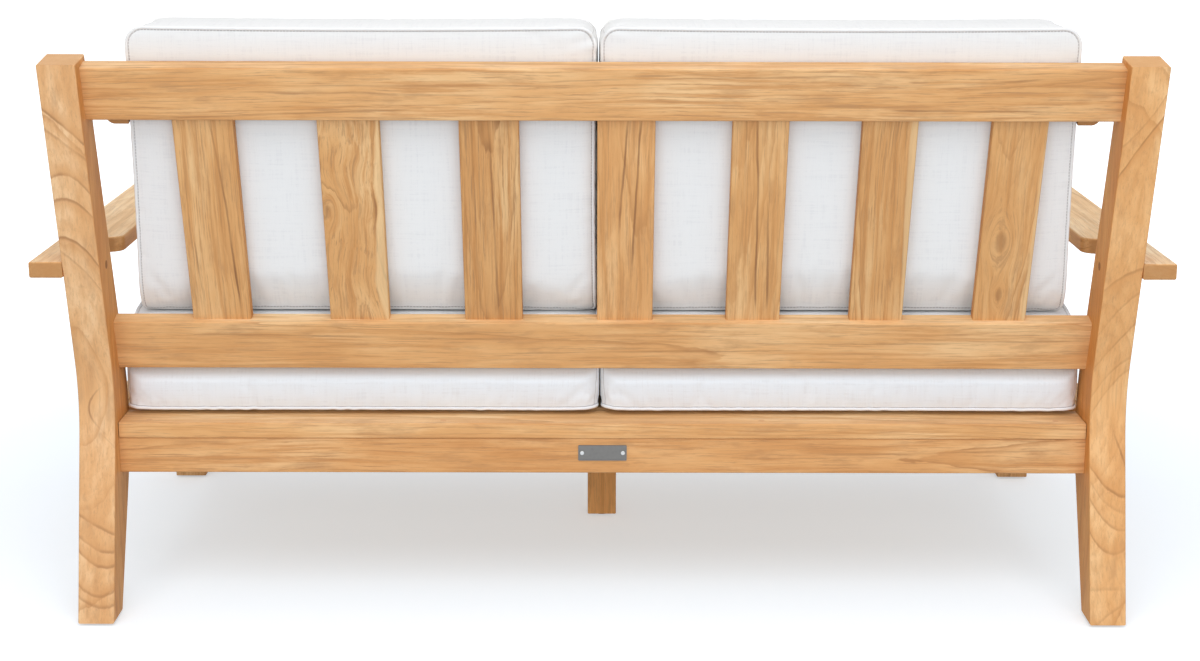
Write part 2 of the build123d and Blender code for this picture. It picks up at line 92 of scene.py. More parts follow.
class Finish:
    """A material whose nodes are written as expressions."""

    def __init__(self, name, tree=None):
        if tree is None:
            self.material = bpy.data.materials.new(name)
            self.material.use_nodes = True
            tree = self.material.node_tree
        self.tree = tree
        self.tree.nodes.clear()

    def put(self, socket, value):
        """Link a wire to a socket, or set the socket's own value."""
        if isinstance(value, Wire):
            self.tree.links.new(value.socket, socket)
        else:
            socket.default_value = value

    def node(self, kind, settings=None, values=None, out=0):
        """Add a node: its settings first, then its sockets by name or number. Gives one output."""
        made = self.tree.nodes.new("ShaderNode" + kind)
        for key, value in (settings or {}).items():
            setattr(made, key, value)
        for key, value in (values or {}).items():
            self.put(made.inputs[key], value)
        return Wire(self, made.outputs[out]) if made.outputs else None

    def split(self, vector):
        """The three parts of a vector."""
        first = self.node("SeparateXYZ", {}, {0: vector})
        outputs = first.socket.node.outputs
        return first, Wire(self, outputs[1]), Wire(self, outputs[2])

    def join(self, x, y, z):
        """A vector from three values."""
        return self.node("CombineXYZ", {}, {0: x, 1: y, 2: z})

    def noise(self, vector, scale=1.0, detail=2.0, roughness=0.5, out=0):
        """Smooth noise, from 0 to 1, or its colour with out=1."""
        values = {"Vector": vector, "Scale": scale, "Detail": detail, "Roughness": roughness}
        return self.node("TexNoise", {}, values, out)

    def ease(self, value, low, high):
        """A smooth step from 0 at low to 1 at high."""
        values = {0: value, 1: low, 2: high, 3: 0.0, 4: 1.0}
        return self.node("MapRange", {"interpolation_type": "SMOOTHSTEP"}, values)

    def bell(self, square):
        """A bell curve of a distance whose square is given."""
        return self.node("Math", {"operation": "EXPONENT"}, {0: square * -1.0})

    def blend(self, under, over, share, kind="MIX"):
        """Two colours mixed, or multiplied, by a share."""
        settings = {"data_type": "RGBA", "blend_type": kind}
        return self.node("Mix", settings, {0: share, 6: under, 7: over}, 2)

    def bump(self, height, distance, strength=1.0):
        """A normal from a height in metres times distance."""
        return self.node("Bump", {}, {"Strength": strength, "Distance": distance, "Height": height})

    def surface(self, **sockets):
        """Close the material with a Principled shader. An underscore stands for a space."""
        values = {key.replace("_", " "): value for key, value in sockets.items()}
        shader = self.node("BsdfPrincipled", {}, values)
        self.node("OutputMaterial", {}, {"Surface": shader})
        return self.material


def tint(red, green, blue, value=(1.0, 1.0, 1.0)):
    """A colour given in the usual 0 to 255 steps, as linear light, times a value for each part."""
    steps = np.array((red, green, blue)) / 255
    linear = np.where(steps <= 0.04045, steps / 12.92, ((steps + 0.055) / 1.055) ** 2.4)
    return (*(linear * np.array(value)), 1.0)


# Wood. Each pattern of the grain has its steps to a metre along and across the grain, its shift
# from board to board, its detail and its roughness
streak_grain = (3.5, 110.0, 1.0, 5.0, 0.66)
fibre_grain = (11.0, 420.0, 1.0, 4.0, 0.62)
cloud_grain = (5.0, 22.0, 2.1, 3.0, 0.55)
mottle_grain = (12.0, 45.0, 5.3, 4.0, 0.62)
# How far rough grain strays, how a knot stretches, turns and lifts the rings round it, and between
# which parts of a ring its late wood and its dark line rise and its end fades
rough_grain, rough_wave = (16.0, 70.0), 0.004
knot_length, knot_turn, knot_lift = 2.2, 1.6, 0.5
late_wood, late_line, ring_end = (0.25, 0.92), (0.68, 0.93), (0.93, 1.0)
# Where drawn lines fade, across and towards their ends, and how arches stray, rise and fade
line_width, line_fade = (0.0004, 0.0022), 0.04
arch_rough, arch_drift = 0.006, 0.012
arch_start, arch_line, arch_shade = (-0.0024, 0.0006), (0.0008, 0.0055), (0.0, 0.026)


def teak(
    name, grain, face, centre, pith=(0.03, -0.07), slope=(0.0, 0.03), ring=0.0055, wave=0.006,
    wave_length=0.30, tone=(1.0, 1.0, 1.0), dark=0.4, streak=0.6, lines=(), arches=(), knots=(),
    painted_edge_highlight=None, seed=0, upward=(1.12, 1.30, 1.55), sideways=(0.86, 0.70, 0.46),
):
    """Oiled teak. The board is cut from a log whose pith runs along the grain, off to one side:
    each growth ring is a cylinder about the pith, bent by slow waves, and darkens towards its
    outer edge. Fibres and pores are noise drawn out along the same bent grain. A knot turns the
    rings round itself by a bell curve, lines follow v = v0 + tilt u + bow u² along the board, and
    arches follow u = u0 + tilt v + bow v² across its face, sharp on one side and fading on the
    other. Faces that look up are painted paler, a painted sheen of the light from above, and
    faces that look sideways are painted darker, painted shade."""
    finish = Finish(name)
    along, through = grain.normalized(), face.normalized()
    across = through.cross(along)
    turn = Matrix((along, across, through))
    place = finish.node("TexCoord", {}, {}, 3)
    settings = {"vector_type": "POINT"}
    values = {"Rotation": turn.to_euler("XYZ"), "Location": -(turn @ Vector(centre))}
    place = finish.node("Mapping", settings, {"Vector": place, **values})
    u, v, w = finish.split(place)
    shown_u, shown_v = u, v

    # The bent grain
    drift_place = finish.join(u * (1 / wave_length) + seed * 3.7, v * 9.0, w * 9.0 + seed)
    drift_v, drift_w, drift_u = finish.split(finish.noise(drift_place, 1.0, 2.0, 0.45, 1))
    steps, cross_steps = rough_grain
    rough_place = finish.join(u * steps + seed, v * cross_steps, w * cross_steps)
    rough_v, rough_w, rough_u = finish.split(finish.noise(rough_place, 1.0, 3.0, 0.6, 1))
    v = v + (drift_v - 0.5) * (wave * 2) + (rough_v - 0.5) * rough_wave
    w = w + (drift_w - 0.5) * (wave * 2) + (rough_w - 0.5) * rough_wave
    around_knots = 0.0
    for knot_u, knot_v, size in knots:
        far_u, far_v = (shown_u - knot_u) / (size * knot_length), (shown_v - knot_v) / size
        bell = finish.bell(far_u * far_u + far_v * far_v)
        v = v + bell * (shown_v - knot_v) * -knot_turn
        w = w + bell * size * knot_lift
        around_knots = around_knots + bell
    from_pith_v = v - pith[0] - u * slope[0]
    from_pith_w = w - pith[1] - u * slope[1]
    radius = (from_pith_v * from_pith_v + from_pith_w * from_pith_w) ** 0.5
    rings = radius / ring + drift_u * 1.5 + seed * 11.3
    index = rings.math("FLOOR", rings)
    part = rings - index
    chance = finish.node("TexWhiteNoise", {"noise_dimensions": "1D"}, {"W": index})
    strong = finish.ease(chance, 0.62, 1.0)
    late = finish.ease(part, *late_wood) * (1 - finish.ease(part, *ring_end))
    line = finish.ease(part, *late_line) * (1 - finish.ease(part, *ring_end))

    # Fibres, pores and cloudy patches
    def drawn_out(steps, cross_steps, shift, detail, roughness):
        """Noise drawn out along the grain."""
        place = finish.join(u * steps + seed * shift, v * cross_steps, w * cross_steps)
        return finish.noise(place, 1.0, detail, roughness)

    patterns = (streak_grain, fibre_grain, cloud_grain, mottle_grain)
    streaks, fibre, cloud, mottle = (drawn_out(*pattern) for pattern in patterns)
    pore = finish.noise(finish.join(u * 38.0, v * 1500.0, w * 1500.0 + seed), 1.0, 2.0, 0.5)
    fading = finish.noise(finish.join(u * 9.0, v * 30.0, seed * 1.0), 1.0, 2.0)
    fading = finish.ease(fading, 0.36, 0.56)
    pores = finish.ease(pore, 0.60, 0.74)

    honey = tint(229, 174, 114, tone)
    pale = tint(240, 197, 143, tone)
    warm = tint(208, 147, 87, tone)
    tan = tint(184, 136, 90, tone)
    umber = tint(132, 86, 52, tone)
    # Each layer lies over the ones before it where its pattern rises from low to high, by a share
    layers = (
        (pale, cloud, 0.42, 0.72, 0.8), (warm, 1 - cloud, 0.45, 0.75, 0.55),
        (tan, mottle, 0.50, 0.72, 0.5), (warm, streaks, 0.44, 0.62, streak),
        (umber, streaks, 0.56, 0.72, streak * 0.35), (tan, fibre, 0.50, 0.68, streak),
    )
    colour = honey
    for layer, pattern, low, high, share in layers:
        colour = finish.blend(colour, layer, finish.ease(pattern, low, high) * share)
    colour = finish.blend(colour, warm, late * (0.12 + 0.45 * strong))
    colour = finish.blend(colour, umber, line * (0.05 + strong) * fading * dark)
    colour = finish.blend(colour, umber, pores * 0.2)
    for line_v, tilt, bow, start, end, depth in lines:
        off = v - (shown_u * tilt + shown_u * shown_u * bow + line_v)
        mark = (1 - finish.ease(off.math("ABSOLUTE", off), *line_width)) * depth
        begun = finish.ease(shown_u, start, start + line_fade)
        within = begun * (1 - finish.ease(shown_u, end - line_fade, end))
        colour = finish.blend(colour, umber, mark * within * (0.35 + 0.65 * fading))
    normal = finish.node("TexCoord", {}, {}, 1)

    def turned(direction, low=0.75, high=0.97):
        """How nearly a face looks along a direction, or away from it, from 0 to 1."""
        values = {0: normal, 1: tuple(direction)}
        facing = finish.node("VectorMath", {"operation": "DOT_PRODUCT"}, values, 1)
        return finish.ease(facing.math("ABSOLUTE", facing), low, high)

    on_face = turned(through, 0.4, 0.8) if arches else None
    for arch_u, tilt, bow, depth, way in arches:
        off = shown_u + (rough_u - 0.5) * arch_rough + (drift_u - 0.5) * arch_drift
        off = (off - (shown_v * tilt + shown_v * shown_v * bow + arch_u)) * way
        mark = finish.ease(off, *arch_start)
        shade = mark * (1 - finish.ease(off, *arch_shade)) * on_face
        mark = mark * (1 - finish.ease(off, *arch_line)) * on_face
        colour = finish.blend(colour, warm, shade * (depth * 0.8))
        colour = finish.blend(colour, umber, mark * (0.35 + 0.65 * fading) * (depth * 0.55))
    if knots:
        heart = finish.ease(around_knots, 0.78, 0.97)
        colour = finish.blend(colour, umber, heart * 0.35)
    # A pale band painted along one edge of the face: a painted highlight
    if painted_edge_highlight is not None:
        edge, way = painted_edge_highlight
        inside = finish.ease((v - edge) * way, -0.002, 0.002)
        colour = finish.blend(colour, tint(246, 210, 158, tone), inside * 0.55)
    colour = finish.blend(colour, tint(184, 132, 80, tone), turned(along) * 0.85)
    # Painted light: faces that look up are multiplied paler, a painted sheen, and faces that look
    # sideways darker, painted shade
    colour = finish.blend(colour, (*upward, 1.0), turned(UPWARD), "MULTIPLY")
    colour = finish.blend(colour, (*sideways, 1.0), turned(SIDEWAYS), "MULTIPLY")
    roughness = 0.50 + 0.14 * fibre + 0.08 * pores
    relief = fibre * 0.5 - pores * 0.6 - late * 0.3
    return finish.surface(
        Base_Color=colour, Roughness=roughness, Normal=finish.bump(relief, 0.0004, 0.45),
        Specular_IOR_Level=0.28,
    )


# Pieces
def add_object(name, data):
    """A new object in the scene."""
    made = bpy.data.objects.new(name, data)
    bpy.context.scene.collection.objects.link(made)
    return made


def places(mesh):
    """The points of a mesh."""
    points = np.empty(len(mesh.vertices) * 3)
    mesh.vertices.foreach_get("co", points)
    return points.reshape(-1, 3)


def centre_of(name):
    """The middle of a piece's box."""
    low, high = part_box(name)
    return (low + high) / 2


def dress(name, material):
    """Give a piece of the frame its finish."""
    mesh = nodes[name].data
    mesh.materials.clear()
    mesh.materials.append(material)


def board(name, grain, face, seed, **look):
    """Finish one wooden piece with its own figure."""
    dress(name, teak(name + "_teak", grain, face, centre_of(name), seed=seed, **look))


def finish_wood():
    """Every board with the figure that the real one shows, or one like it. A line is given as
    (v0, tilt, bow, start, end, depth), an arch as (u0, tilt, bow, depth, way of its sharp side),
    a knot as (u, v, size) and a painted highlight along one edge as (v of its edge, way)."""
    # The top rail's upward faces get a milder painted sheen
    board("top_back_rail", SIDEWAYS, BEHIND_THE_BACK, 1, pith=(-0.035, -0.05), slope=(0.012, 0.02),
          wave=0.008, wave_length=0.42, streak=0.75, upward=(1.0, 1.1, 1.28), lines=(
              (0.012, -0.02, 0.0, -0.66, -0.38, 0.5), (-0.006, 0.03, 0.0, -0.60, -0.30, 0.35),
              (0.016, 0.02, 0.02, 0.25, 0.70, 0.4), (-0.014, 0.0, 0.01, -0.1, 0.45, 0.3),
              (-0.022, 0.02, 0.0, -0.35, 0.1, 0.3), (0.004, -0.015, 0.0, 0.05, 0.5, 0.3),
          ))
    board("lower_back_rail", SIDEWAYS, BEHIND_THE_BACK, 2, pith=(0.02, -0.06), slope=(-0.01, 0.03),
          wave=0.006, wave_length=0.5, dark=0.3, streak=0.6, lines=(
              (0.010, 0.01, 0.0, -0.3, 0.2, 0.3), (-0.012, -0.01, 0.0, 0.1, 0.6, 0.3),
              (0.0, 0.015, 0.0, -0.7, -0.2, 0.25),
          ))
    board("rear_apron", SIDEWAYS, REARWARD, 3, pith=(0.01, -0.05), slope=(0.01, -0.03), wave=0.008,
          wave_length=0.35, streak=0.7, tone=(0.96, 0.91, 0.87),
          lines=((0.004, 0.02, 0.0, -0.68, -0.3, 0.4),))
    board("front_apron", SIDEWAYS, REARWARD, 4, wave_length=0.4)
    board("rear_seat_board", SIDEWAYS, UPWARD, 5, pith=(0.03, -0.09), dark=0.28, wave_length=0.5)
    for number in range(1, 7):
        board(f"seat_board_{number}", SIDEWAYS, UPWARD, 10 + number, pith=(0.02, -0.08))
    board("front_seat_board", SIDEWAYS, UPWARD, 17, pith=(-0.02, -0.07))
    dull, mid, bright = (0.90, 0.89, 0.86), (0.95, 0.95, 0.93), (1.0, 1.0, 1.0)
    slats = (
        (1, dict(tone=mid, pith=(0.015, -0.05), slope=(0.0, 0.08), dark=0.3, wave=0.008,
                 knots=((-0.115, 0.004, 0.011), (-0.03, 0.010, 0.020)), painted_edge_highlight=(-0.034, -1))),
        (2, dict(tone=dull, pith=(-0.03, -0.05), slope=(0.05, 0.02), dark=0.35, wave=0.009,
                 streak=0.8, painted_edge_highlight=(-0.031, -1))),
        (3, dict(tone=mid, pith=(0.03, -0.06), slope=(-0.03, 0.03), dark=0.2, lines=(
            (0.000, 0.03, 0.0, -0.16, 0.17, 0.7), (-0.014, 0.05, 0.0, -0.16, 0.04, 0.6),
            (0.020, -0.01, 0.0, -0.05, 0.17, 0.3)))),
        (4, dict(tone=bright, pith=(-0.02, -0.06), slope=(0.03, 0.03), dark=0.2, lines=(
            (0.008, -0.07, 0.0, -0.03, 0.17, 0.8), (-0.012, -0.06, 0.0, -0.10, 0.17, 0.7)))),
        (5, dict(tone=dull, pith=(0.0, -0.06), slope=(0.0, 0.04), dark=0.5, streak=0.9, lines=(
            (-0.004, 0.03, 0.0, -0.17, 0.17, 0.5), (0.022, 0.02, 0.0, -0.17, 0.17, 0.4)))),
        (6, dict(tone=mid, pith=(0.01, -0.04), slope=(0.06, 0.08), dark=0.75, wave=0.022,
                 wave_length=0.14, streak=0.8, knots=((0.015, 0.036, 0.013),), lines=(
                     (-0.030, 0.06, -1.2, -0.17, 0.06, 0.5),), painted_edge_highlight=(-0.033, -1))),
        (7, dict(tone=mid, pith=(-0.03, -0.05), slope=(-0.03, 0.02), dark=0.35, streak=0.7, lines=(
            (-0.022, 0.06, 0.2, -0.15, 0.17, 0.8), (0.030, 0.05, 0.0, -0.14, -0.02, 0.6)))),
    )
    for number, look in slats:
        board(f"back_slat_{number}", UP_THE_BACK, BEHIND_THE_BACK, 20 + number, **look)
    posts = (
        ("left", (1.03, 1.07, 1.20), (
            (0.313, 0.91, -3.6, 0.9, 1), (0.289, 0.78, -1.4, 0.5, -1),
            (0.243, 0.38, -23, 0.75, 1), (0.207, 0.38, -18, 0.8, -1),
            (0.146, 0.82, -21, 0.9, -1), (0.110, 1.2, -10, 0.4, -1),
            (-0.268, 0.58, 0.5, 0.7, 1), (-0.301, 0.47, 10.5, 0.7, 1),
            (-0.324, 0.45, 15.4, 0.85, 1), (-0.367, 0.18, 17.8, 0.7, 1),
            (-0.381, 0.26, 12.2, 0.6, 1)), (
            (-0.1759, -3.547, -16.86, -0.150, -0.060, 0.5),
            (0.1236, 0.913, 0.0, -0.175, -0.130, 0.5))),
        ("right", (1.05, 1.04, 1.03), (
            (0.290, -1.71, -2.4, 1.0, -1), (0.318, -1.46, 12, 0.35, -1),
            (0.100, -0.6, -8, 0.55, -1), (0.048, -1.29, -12, 0.35, 1),
            (-0.006, -1.40, -3, 0.4, 1), (-0.049, -1.22, -12, 0.35, 1),
            (-0.073, -1.39, -10, 0.35, 1), (-0.216, 0.81, 14.7, 0.85, 1),
            (-0.238, 0.8, 16, 0.3, 1), (-0.264, 0.80, 18.8, 0.55, 1),
            (-0.304, 0.42, 25.4, 0.6, 1), (-0.355, -0.03, 0, 0.25, 1),
            (-0.391, -0.79, 0, 0.3, 1)), (
            (0.0426, 0.36, 0.0, -0.20, -0.125, 0.6),)),
    )
    for number, (side, tone, arches, lines) in enumerate(posts):
        # The posts' upward faces get a stronger painted sheen
        board(f"rear_post_{side}", UPWARD, REARWARD, 31 + number, ring=0.0075, wave=0.012,
              wave_length=0.25, dark=0.15, streak=0.35, tone=tone, arches=arches, lines=lines,
              upward=(1.28, 1.38, 1.5))
    for number, side in enumerate(("left", "right")):
        board(f"front_leg_{side}", UPWARD, REARWARD, 40 + number)
        # The armrests' upward faces get the strongest painted sheen
        board(f"armrest_{side}", REARWARD, UPWARD, 42 + number, pith=(0.0, -0.09), dark=0.3,
              streak=0.5, tone=(0.98, 0.96, 0.93), upward=(1.22, 1.55, 2.15))
        board(f"side_apron_{side}", REARWARD, SIDEWAYS, 44 + number)
        board(f"seat_ledger_{side}", REARWARD, SIDEWAYS, 46 + number)
        # The cushion stops' darker tone is painted shade from the top rail above them
        board(f"cushion_stop_{side}", SIDEWAYS, BEHIND_THE_BACK, 48 + number, tone=(0.7, 0.66, 0.6))
    # The centre leg's tone is lighter than the wood's own: painted light against the shade under
    # the seat
    board("centre_leg", UPWARD, REARWARD, 50, tone=(1.28, 1.22, 1.08))
    board("centre_bearer", REARWARD, SIDEWAYS, 51)
    board("bolt_plugs", SIDEWAYS, REARWARD, 52, tone=(0.75, 0.7, 0.65))


# Metal and plastic
def metal(name, colour, roughness, brushing=0.0, worn=0.0):
    """Brushed or polished metal: fine sideways scratches, and a little tarnish in patches."""
    finish = Finish(name)
    place = finish.node("TexCoord", {}, {}, 3)
    u, v, w = finish.split(place)
    scratch = finish.noise(finish.join(u * 40.0, v * 40.0, w * 4000.0), 1.0, 3.0, 0.6)
    patch = finish.noise(place, 160.0, 3.0, 0.6)
    colour = finish.blend(colour, tint(70, 68, 64), finish.ease(patch, 0.45, 0.8) * worn)
    return finish.surface(
        Base_Color=colour, Metallic=1.0, Roughness=roughness + brushing * scratch,
        Normal=finish.bump(scratch, 0.00005, 0.3),
    )


def plastic(name, colour):
    """Moulded plastic with a fine grain."""
    finish = Finish(name)
    grain = finish.noise(finish.node("TexCoord", {}, {}, 3), 900.0, 2.0, 0.5)
    return finish.surface(
        Base_Color=colour, Roughness=0.55 + 0.15 * grain, Normal=finish.bump(grain, 0.0001, 0.4)
    )


def finish_fittings():
    """The screws, bolts, glides and the bare plate."""
    steel = metal("stainless_steel", tint(205, 205, 203), 0.28, 0.1, 0.3)
    for name in ("armrest_bolts", "plate_screws"):
        dress(name, steel)
    dress("seat_board_screws", plastic("painted_steel", tint(222, 172, 122)))
    dress("blank_plate", metal("plate_metal", tint(119, 117, 114), 0.42, 0.1, 0.15))
    glide = plastic("glide_plastic", tint(40, 38, 36))
    for name in nodes:
        if name.endswith(("_glide", "_glide_left", "_glide_right")):
            dress(name, glide)


# Sewn cushions
# The slack cover: the step of its grid, how far its edges draw in between the corners, how much
# and how near to a corner the seams bend towards each other, and the boxing's belly
cloth_step = 0.008
draw_in = 0.0025
corner_lift, corner_fade = 0.004, 0.03
belly = 0.003
# The fill, and how far it may move the boxing
fill_pressure, fill_frames, cloth_ease = 4.0, 20, 0.008
boxing_reach = 0.006
# Where a filled cover is pressed flat: the soft bend at a plane, the gap to hard and soft
# neighbours, the room at the outer side, and how the planes give way under the back's lower rail
soft_bend, soft_gap, half_gap, side_room = 0.002, 0.0006, 0.0003, 0.0024
rail_release = 1.2
# The band of a seat cushion that a back cushion stands on: its height against the flat seat, and
# the lengths of its front and rear ends
pressed_rise, press_edge, press_end = -0.0020, 0.035, 0.008
# A back cushion's foot, rolled under up to a height, with a smaller roll round its inner side
roll_height, side_roll, side_share = 0.070, 0.022, 0.25
# Gathers: their reach on the resting panel, the crowned panel and the boxing, their slant, and
# the number of reaches at which they end
gather_reach = (0.020, 0.024, 0.015)
gather_slant, gather_end = 0.25, 8
# Piping, how much of it is trodden flat under a foot, the line of stitches and painted crease shade
# beside the seams, and how far the boxing's upright seams stand from the corners
piping_radius, piping_sides = 0.0023, 10
foot_press, foot_share = 0.010, 0.8
stitch_and_crease_shade_line, stitch_pitch = 0.0031, 0.0046
corner_seam = 0.0045
# How far the covers reach past the CAD's solids: behind a seat, outwards, and above a back
seat_rear_room = 0.0135
seat_spread, back_spread, back_rise = 0.0045, 0.0062, 0.0025
# The crown of each kind and the back cushions' boxing
seat_crown, back_crown, back_boxing = 0.012, 0.020, 0.146
# Where the two cushions of each pair meet, a little to the sitter's left of the middle
seat_meeting, back_meeting = 0.0040, 0.0068


def rounded_sheet(width, height, corners, columns, rows):
    """A grid over a rectangle with rounded corners of one radius at its near edge and another at
    its far edge. In each corner's square a point (s, t) goes to (s sqrt(1 - t²/2),
    t sqrt(1 - s²/2)), which bends the square into a quarter of a disc."""
    a, b = np.meshgrid(np.linspace(0, width, columns), np.linspace(0, height, rows))
    a, b = a - width / 2, b - height / 2
    corner = np.where(b < 0, *corners)
    s = np.clip((np.abs(a) - width / 2) / corner + 1, 0, None)
    t = np.clip((np.abs(b) - height / 2) / corner + 1, 0, None)
    a = a - np.sign(a) * corner * s * (1 - np.sqrt(1 - t**2 / 2))
    b = b - np.sign(b) * corner * t * (1 - np.sqrt(1 - s**2 / 2))
    return a + width / 2, b + height / 2


def border(grid):
    """The edge of a grid as one closed loop, counter-clockwise from its first corner."""
    return np.concatenate((grid[0, :-1], grid[:-1, -1], grid[-1, :0:-1], grid[:0:-1, 0]))


def cells(grid):
    """The four corners of every cell of a grid, counter-clockwise."""
    return grid[:-1, :-1], grid[:-1, 1:], grid[1:, 1:], grid[1:, :-1]


def quads(grid):
    """The faces between the rows and columns of a grid of point numbers."""
    return np.stack(cells(grid), -1).reshape(-1, 4)


def refine(grid, axis, closed=False):
    """Twice as many points along an axis. Each new one lies between its neighbours a and b, with
    c and d beyond them, at (9a + 9b - c - d) / 16, which keeps the line smooth."""
    grid = np.moveaxis(grid, axis, 0)
    if closed:
        longer = np.concatenate((grid[-1:], grid, grid[:2]))
    else:
        longer = np.concatenate((2 * grid[:1] - grid[1:2], grid, 2 * grid[-1:] - grid[-2:-1]))
    between = (9 * (longer[1:-2] + longer[2:-1]) - longer[:-3] - longer[3:]) / 16
    result = np.empty((len(grid) + len(between), *grid.shape[1:]))
    result[0::2] = grid
    result[1::2] = between
    return np.moveaxis(result, 0, axis)


def unit(vectors):
    """Vectors of length 1."""
    return vectors / np.linalg.norm(vectors, axis=-1, keepdims=True)


def ripples(run, rng, shortest=0.012, longest=0.045):
    """Gathers along a seam: seven sine waves of random length and phase, which swell and fade
    with a slow eighth one."""
    lengths = rng.uniform(shortest, longest, 7)
    phases = rng.uniform(0, 2 * math.pi, 8)
    turns = run * 2 * math.pi
    waves = sum(np.sin(turns / length + phase) for length, phase in zip(lengths, phases))
    slow = 0.55 + 0.45 * np.sin(turns / rng.uniform(0.16, 0.3) + phases[7])
    return waves / 7 * slow


def level(values, limit, way):
    """Values kept above a limit (way 1) or below it (way -1), along a hyperbola: half the sum of
    the height above the limit and the root of its square plus the square of the soft bend."""
    above = (values - limit) * way
    return limit + way * (above + np.sqrt(above**2 + soft_bend**2)) / 2


def mesh_object(name, points, faces, material=None):
    """A new smooth-shaded object from arrays of points and faces."""
    mesh = bpy.data.meshes.new(name)
    mesh.from_pydata(points.reshape(-1, 3).tolist(), [], faces.tolist())
    mesh.shade_smooth()
    if material is not None:
        mesh.materials.append(material)
    return add_object(name, mesh)


class Cushion:
    """A cover of two panels and a boxing strip between two seams. Its own directions are a, from
    the middle of the seat outwards, b, along the panel, and c, from the resting panel to the
    crowned one. The seams run a margin inside the room along a and b, at two levels of c.

    A taper narrows the far end of b, a lean carries the crowned side's far end outwards along b,
    a roll lifts the resting panel's foot, a squeeze and a drop draw in and lower the crowned
    seam's outer far corner, and pressed is the stretch of b that another cushion stands on."""

    def __init__(
        self, name, side, origin, axes, room, margins, seams, reach, corners, gathers, seed,
        taper=0.0, lean=0.0, roll=0.0, squeeze=0.0, drop=0.0, pressed=None,
    ):
        self.name, self.side, self.taper, self.gathers = name, side, taper, gathers
        self.origin = np.array(origin)
        self.axes = np.array(axes, float)
        self.axes[0] *= side
        self.room, self.margins, self.seams = room, margins, seams
        self.lean, self.roll, self.squeeze, self.drop = lean, roll, squeeze, drop
        self.reach, self.corners, self.pressed = reach, corners, pressed
        self.rng = np.random.default_rng(seed)
        width = room[0] - margins[0]
        height = room[1] - margins[1]
        self.columns = round(width / cloth_step) + 1
        self.rows = round(height / cloth_step) + 1
        self.layers = round((seams[1] - seams[0]) / cloth_step)
        self.sheet = rounded_sheet(width, height, corners, self.columns, self.rows)

    def world(self, local):
        """Places in the row frame from places along a, b and c."""
        return self.origin + local @ self.axes

    def local(self, world):
        """Places along a, b and c from places in the row frame."""
        return (world - self.origin) @ np.linalg.inv(self.axes)

    def number_points(self, columns, rows, layers):
        """Point numbers of the resting panel, the crowned panel and the boxing between them."""
        count = columns * rows
        resting = np.arange(count).reshape(rows, columns)
        crowned = resting + count
        loop = 2 * (columns + rows) - 4
        inner = 2 * count + np.arange((layers - 1) * loop).reshape(layers - 1, loop)
        boxing = np.vstack((border(resting)[None], inner, border(crowned)[None]))
        return resting, crowned, boxing

    def faces(self, numbers):
        """Faces of the whole cover, pointing outwards."""
        resting, crowned, boxing = numbers
        closed = np.hstack((boxing, boxing[:, :1]))
        faces = np.vstack((quads(resting)[:, ::-1], quads(crowned), quads(closed)))
        return faces if self.side > 0 else faces[:, ::-1]

    def rolled(self, b):
        """How far the resting panel's foot rolls under the cushion: a quarter of an ellipse."""
        return self.roll * (1 - np.sqrt(1 - np.clip(1 - b / roll_height, 0, 1) ** 2))

    def slack_cover(self):
        """The cover before it is filled. The panels are flat, drawn in between their corners by a
        parabola, and their seams bend towards each other at the corners by an exponential. The
        crowned seam draws in along a with the cube of the way along b, and drops with its sixth
        power. The boxing between them bellies out towards the other cushion by a parabola."""
        a, b = self.sheet
        width, height = a.max(), b.max()
        s, t = 2 * a / width - 1, 2 * b / height - 1
        a = a - draw_in * s * (1 - t**2)
        b = b - draw_in * t * (1 - s**2)
        to_corner = (1 - np.abs(s)) * width + (1 - np.abs(t)) * height
        lift = corner_lift * np.exp(-to_corner / corner_fade)
        a, b = a + self.margins[0], b + self.margins[1]
        resting = np.stack((a, b, self.seams[0] + lift + self.rolled(b)), -1)
        sag = ((t + 1) / 2) ** 3
        crowned = np.stack((a, b, self.seams[1] - lift - self.drop * sag**2), -1)
        share = np.linspace(0, 1, self.layers + 1)[1:-1, None, None]
        boxing = border(resting) * (1 - share) + border(crowned) * share
        drawn = self.squeeze * sag * (s + 1) / 2
        crowned[..., 0] -= drawn
        share = share[..., 0]
        boxing[..., 0] -= border(drawn) * share**3
        boxing[..., 0] -= belly * 4 * share * (1 - share) * border(1 - s) / 2
        points = np.concatenate([part.reshape(-1, 3) for part in (resting, crowned, boxing)])
        points[:, 0] *= 1 - self.taper / self.room[0] * points[:, 1] / self.room[1]
        points[:, 1] += self.lean * points[:, 1] / self.room[1] * points[:, 2] / self.room[2]
        return points

    def settle(self, before, after):
        """Where the filled cover's points come to rest. Each moves by reach tanh(length / reach)
        on the way that the fill moved it, and the cover is flat where it meets the frame, its
        neighbour or another cushion. The pressed band's front end is a smooth step."""
        move = after - before
        length = np.linalg.norm(move, axis=1, keepdims=True) + 1e-9
        reach = np.full_like(length, self.reach)
        reach[2 * self.rows * self.columns:] = boxing_reach
        points = before + move / length * reach * np.tanh(length / reach)
        width, height, depth = self.room
        highest = np.full(len(points), depth)
        if self.pressed is not None:
            ahead = np.clip((self.pressed[0] - points[:, 1]) / press_edge, 0, 1)
            past = np.clip((points[:, 1] - self.pressed[1]) / press_end, 0, 1)
            share = (1 - ahead**2 * (3 - 2 * ahead)) * (1 - past)
            highest -= (seat_crown - pressed_rise + soft_gap) * share
        beside = np.clip(1 - points[:, 0] / side_roll, 0, 1) ** 2 * self.roll * side_share
        lowest = (
            -half_gap, soft_gap if self.taper else -boxing_reach,
            soft_gap + self.rolled(points[:, 1]) + beside,
        )
        for axis, limit in enumerate(lowest):
            points[:, axis] = level(points[:, axis], limit, 1)
        points[:, 2] = level(points[:, 2], highest, -1)
        points[:, 0] = level(points[:, 0], width + side_room, -1)
        world = self.world(points)
        behind = world @ np.array(BEHIND_THE_BACK)
        limit = back_front + np.clip(rail_foot - world[:, 2], 0, None) * rail_release
        world[:, 1] += (level(behind, limit, -1) - behind) / BEHIND_THE_BACK.y
        return self.local(world)

